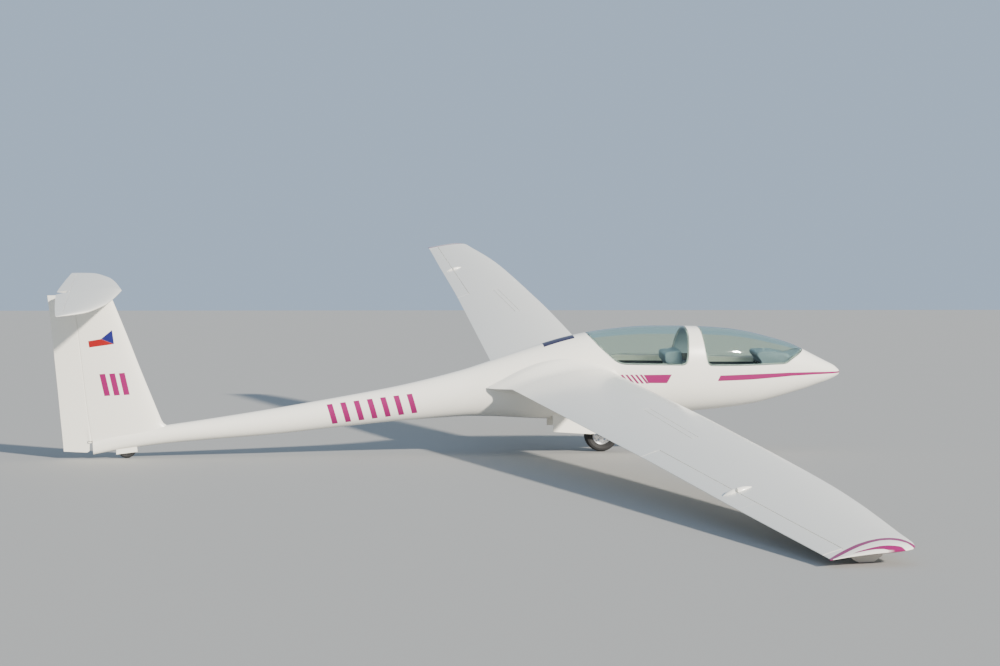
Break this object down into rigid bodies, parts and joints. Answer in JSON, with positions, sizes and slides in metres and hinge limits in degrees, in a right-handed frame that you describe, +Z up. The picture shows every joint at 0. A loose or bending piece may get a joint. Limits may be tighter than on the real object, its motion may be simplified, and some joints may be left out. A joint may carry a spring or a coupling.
{
  "type": "sailplane glider",
  "caption": "Two-seat T-tail sailplane with tandem canopies, long tapered wings and retractable main wheel, parked with one wingtip resting on the ground.",
  "frame": {"origin": "centre of the bounding box at its base, on the ground that the two wheels and the right tip skid stand on", "axes": "+X towards the nose, +Y towards the left wingtip, +Z up; the aircraft itself is banked right wing down and slightly nose up"},
  "size_m": [8.6154, 17.8414, 2.5441],
  "materials": {
    "gelcoat": "gloss gelcoat",
    "steel": "satin",
    "alloy": "satin",
    "skid": "matt grey",
    "frame": "dark",
    "glass": "clear, faintly green",
    "shroud": "matt blue-grey",
    "seat": "matt grey",
    "rubber": "matt"
  },
  "bodies": {
    "airframe": {"fuselage_shell": "gelcoat", "fin": "gelcoat", "tailplane": "gelcoat", "wing_right": "gelcoat", "wing_left": "gelcoat", "tip_skid_right": "skid", "tip_skid_left": "skid", "instrument_pod_front": "shroud", "instrument_pod_rear": "shroud", "seat_front": "seat", "seat_rear": "seat", "control_stick_front": "frame", "control_stick_rear": "frame", "main_gear_leg": "steel", "gear_door_right": "gelcoat", "gear_door_left": "gelcoat", "tail_wheel_fork": "gelcoat", "tow_hook": "steel"},
    "rudder_body": {"rudder": "gelcoat", "rudder_hinge_pin": "steel"},
    "elevator_body": {"elevator_right": "gelcoat", "elevator_left": "gelcoat", "elevator_tube": "gelcoat"},
    "aileron_right": {"aileron_inner_right": "gelcoat", "aileron_outer_right": "gelcoat"},
    "aileron_left": {"aileron_inner_left": "gelcoat", "aileron_outer_left": "gelcoat"},
    "canopy_front": {"canopy_frame_front": "frame", "canopy_glass_front": "glass"},
    "canopy_rear": {"canopy_frame_rear": "frame", "canopy_glass_rear": "glass"},
    "main_wheel": {"main_tyre": "rubber", "main_rim": "alloy"},
    "tail_wheel": {"tail_tyre": "rubber", "tail_hub": "alloy"},
    "airbrake_right": {"airbrake_upper_right": "gelcoat"},
    "airbrake_left": {"airbrake_upper_left": "gelcoat"},
    "airbrake_right_lower": {"airbrake_lower_right": "alloy"},
    "airbrake_left_lower": {"airbrake_lower_left": "alloy"}
  },
  "joints": [
    {"name": "main_wheel_spin", "type": "hinge", "parent": "airframe", "child": "main_wheel", "pos_m": [1.59759, 0.15224, 0.18952], "axis": [-0.0063, 0.9909, 0.1346], "continuous": true},
    {"name": "tail_wheel_spin", "type": "hinge", "parent": "airframe", "child": "tail_wheel", "pos_m": [-3.5139, 0.13163, 0.10123], "axis": [-0.0063, 0.9909, 0.1346], "continuous": true},
    {"name": "rudder_hinge", "type": "hinge", "parent": "airframe", "child": "rudder_body", "pos_m": [-3.88414, 0.12395, 0.14038], "axis": [-0.105, -0.1345, 0.9853], "range_deg": [-30, 30]},
    {"name": "elevator_hinge", "type": "hinge", "parent": "airframe", "child": "elevator_body", "pos_m": [-4.08113, -0.09376, 1.73417], "axis": [-0.0063, 0.9909, 0.1346], "range_deg": [-20, 25]},
    {"name": "aileron_right_hinge", "type": "hinge", "parent": "airframe", "child": "aileron_right", "pos_m": [1.10143, -8.76965, 0.09601], "axis": [-0.0409, 0.9959, 0.0802], "range_deg": [-12, 24]},
    {"name": "aileron_left_hinge", "type": "hinge", "parent": "airframe", "child": "aileron_left", "pos_m": [0.87897, 4.93238, 1.74183], "axis": [0.0283, 0.9817, 0.1884], "range_deg": [-12, 24]},
    {"name": "canopy_front_hinge", "type": "hinge", "parent": "airframe", "child": "canopy_front", "pos_m": [2.72879, -0.30935, 0.93654], "axis": [0.9915, 0.1291, 0.0155], "range_deg": [0, 80]},
    {"name": "canopy_rear_hinge", "type": "hinge", "parent": "airframe", "child": "canopy_rear", "pos_m": [1.74159, -0.29968, 0.9602], "axis": [0.9997, -0.0139, -0.0191], "range_deg": [0, 80]},
    {"name": "airbrake_right_slide", "type": "slide", "parent": "airframe", "child": "airbrake_right", "axis": [-0.0465, -0.1347, 0.9898], "range_m": [0, 0.14]},
    {"name": "airbrake_left_slide", "type": "slide", "parent": "airframe", "child": "airbrake_left", "axis": [-0.0465, -0.1347, 0.9898], "range_m": [0, 0.14]},
    {"name": "airbrake_right_lower_slide", "type": "slide", "parent": "airframe", "child": "airbrake_right_lower", "axis": [-0.0465, -0.1347, 0.9898], "range_m": [0, 0.07]},
    {"name": "airbrake_left_lower_slide", "type": "slide", "parent": "airframe", "child": "airbrake_left_lower", "axis": [-0.0465, -0.1347, 0.9898], "range_m": [0, 0.07]}
  ],
  "couplings": [
    {"joint": "airbrake_left_slide", "follows": "airbrake_right_slide", "ratio": 1},
    {"joint": "airbrake_right_lower_slide", "follows": "airbrake_right_slide", "ratio": 0.5},
    {"joint": "airbrake_left_lower_slide", "follows": "airbrake_right_slide", "ratio": 0.5}
  ]
}
